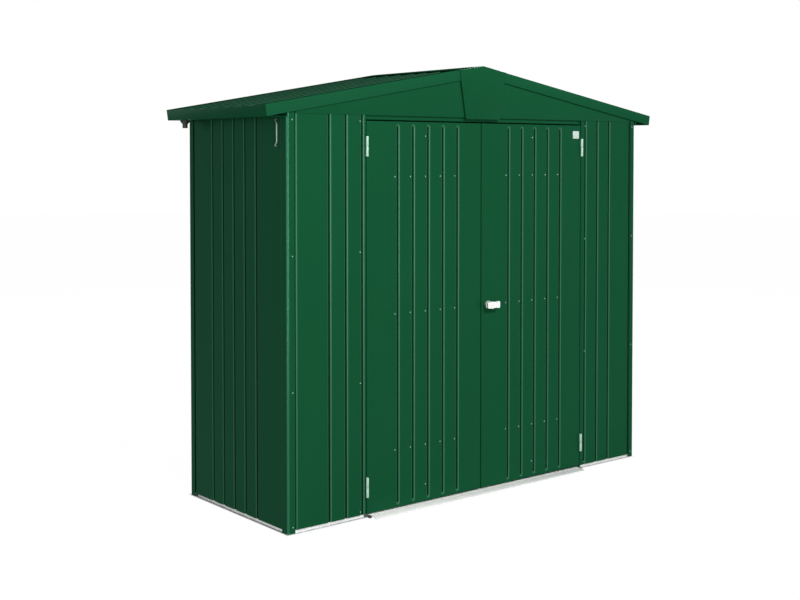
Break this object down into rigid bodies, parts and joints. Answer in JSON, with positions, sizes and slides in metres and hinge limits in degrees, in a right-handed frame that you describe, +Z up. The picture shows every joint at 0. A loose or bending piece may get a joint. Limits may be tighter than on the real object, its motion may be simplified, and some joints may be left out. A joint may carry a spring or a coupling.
{
  "type": "metal storage shed",
  "caption": "Narrow beaded sheet-steel garden shed with a low gable roof, double doors on proud hinges, a turn handle, eave gutters and an alloy floor frame.",
  "frame": {"origin": "middle of the four ground anchor holes, on the ground plane under the shed", "axes": "+X along the front wall to the right as seen from the front, -Y out of the front wall where the doors open, +Z up"},
  "size_m": [2.44, 0.883, 2.032],
  "materials": {
    "green_sheet": "satin dark green baked coating on galvanised sheet",
    "frame_alloy": "mill finish extruded alloy",
    "sill_alloy": "mill finish folded alloy plate",
    "pale_zinc": "pale grey-green satin",
    "handle_metal": "light satin",
    "plate_metal": "satin",
    "grey_wire": "dull zinc plated wire",
    "black_plastic": "matte black"
  },
  "bodies": {
    "root": {"back_panel_left": "green_sheet", "back_panel_middle": "green_sheet", "back_panel_right": "green_sheet", "corner_post_back_left": "green_sheet", "corner_post_back_right": "green_sheet", "corner_post_front_left": "green_sheet", "corner_post_front_right": "green_sheet", "door_jamb_left": "green_sheet", "door_jamb_right": "green_sheet", "door_sill": "sill_alloy", "floor_rail_back": "frame_alloy", "floor_rail_front": "frame_alloy", "floor_rail_left": "frame_alloy", "floor_rail_right": "frame_alloy", "front_panel_left": "green_sheet", "front_panel_right": "green_sheet", "gable_back": "green_sheet", "gable_front": "green_sheet", "gable_keystone": "green_sheet", "gutter_left": "green_sheet", "gutter_outlets": "black_plastic", "gutter_right": "green_sheet", "hinge_fixed_left": "pale_zinc", "hinge_fixed_right": "pale_zinc", "ridge_beam": "green_sheet", "ridge_cap": "green_sheet", "rod_bracket": "grey_wire", "roof_sheet_left": "green_sheet", "roof_sheet_right": "green_sheet", "side_panel_left": "green_sheet", "side_panel_right": "green_sheet", "sill_caps": "black_plastic", "top_rail_back": "green_sheet", "top_rail_front": "green_sheet", "top_rail_left": "green_sheet", "top_rail_right": "green_sheet", "verge_back_left": "green_sheet", "verge_back_right": "green_sheet", "verge_front_left": "green_sheet", "verge_front_right": "green_sheet"},
    "left_door": {"door_skin_left": "green_sheet", "door_rails_left": "green_sheet", "hinge_moving_left": "pale_zinc"},
    "right_door": {"door_skin_right": "green_sheet", "door_rails_right": "green_sheet", "hinge_moving_right": "pale_zinc", "handle_rose": "handle_metal", "blank_plate": "plate_metal"},
    "handle": {"handle_lever": "handle_metal"}
  },
  "joints": [
    {"name": "left_door_hinge", "type": "hinge", "parent": "root", "child": "left_door", "pos_m": [-0.69, -0.4195, 0.9], "axis": [0, 0, -1], "range_deg": [0, 110]},
    {"name": "right_door_hinge", "type": "hinge", "parent": "root", "child": "right_door", "pos_m": [0.69, -0.4195, 0.9], "axis": [0, 0, 1], "range_deg": [0, 110]},
    {"name": "handle_turn", "type": "hinge", "parent": "right_door", "child": "handle", "pos_m": [0.043, -0.422, 0.895], "axis": [0, 1, 0], "range_deg": [0, 90]}
  ]
}
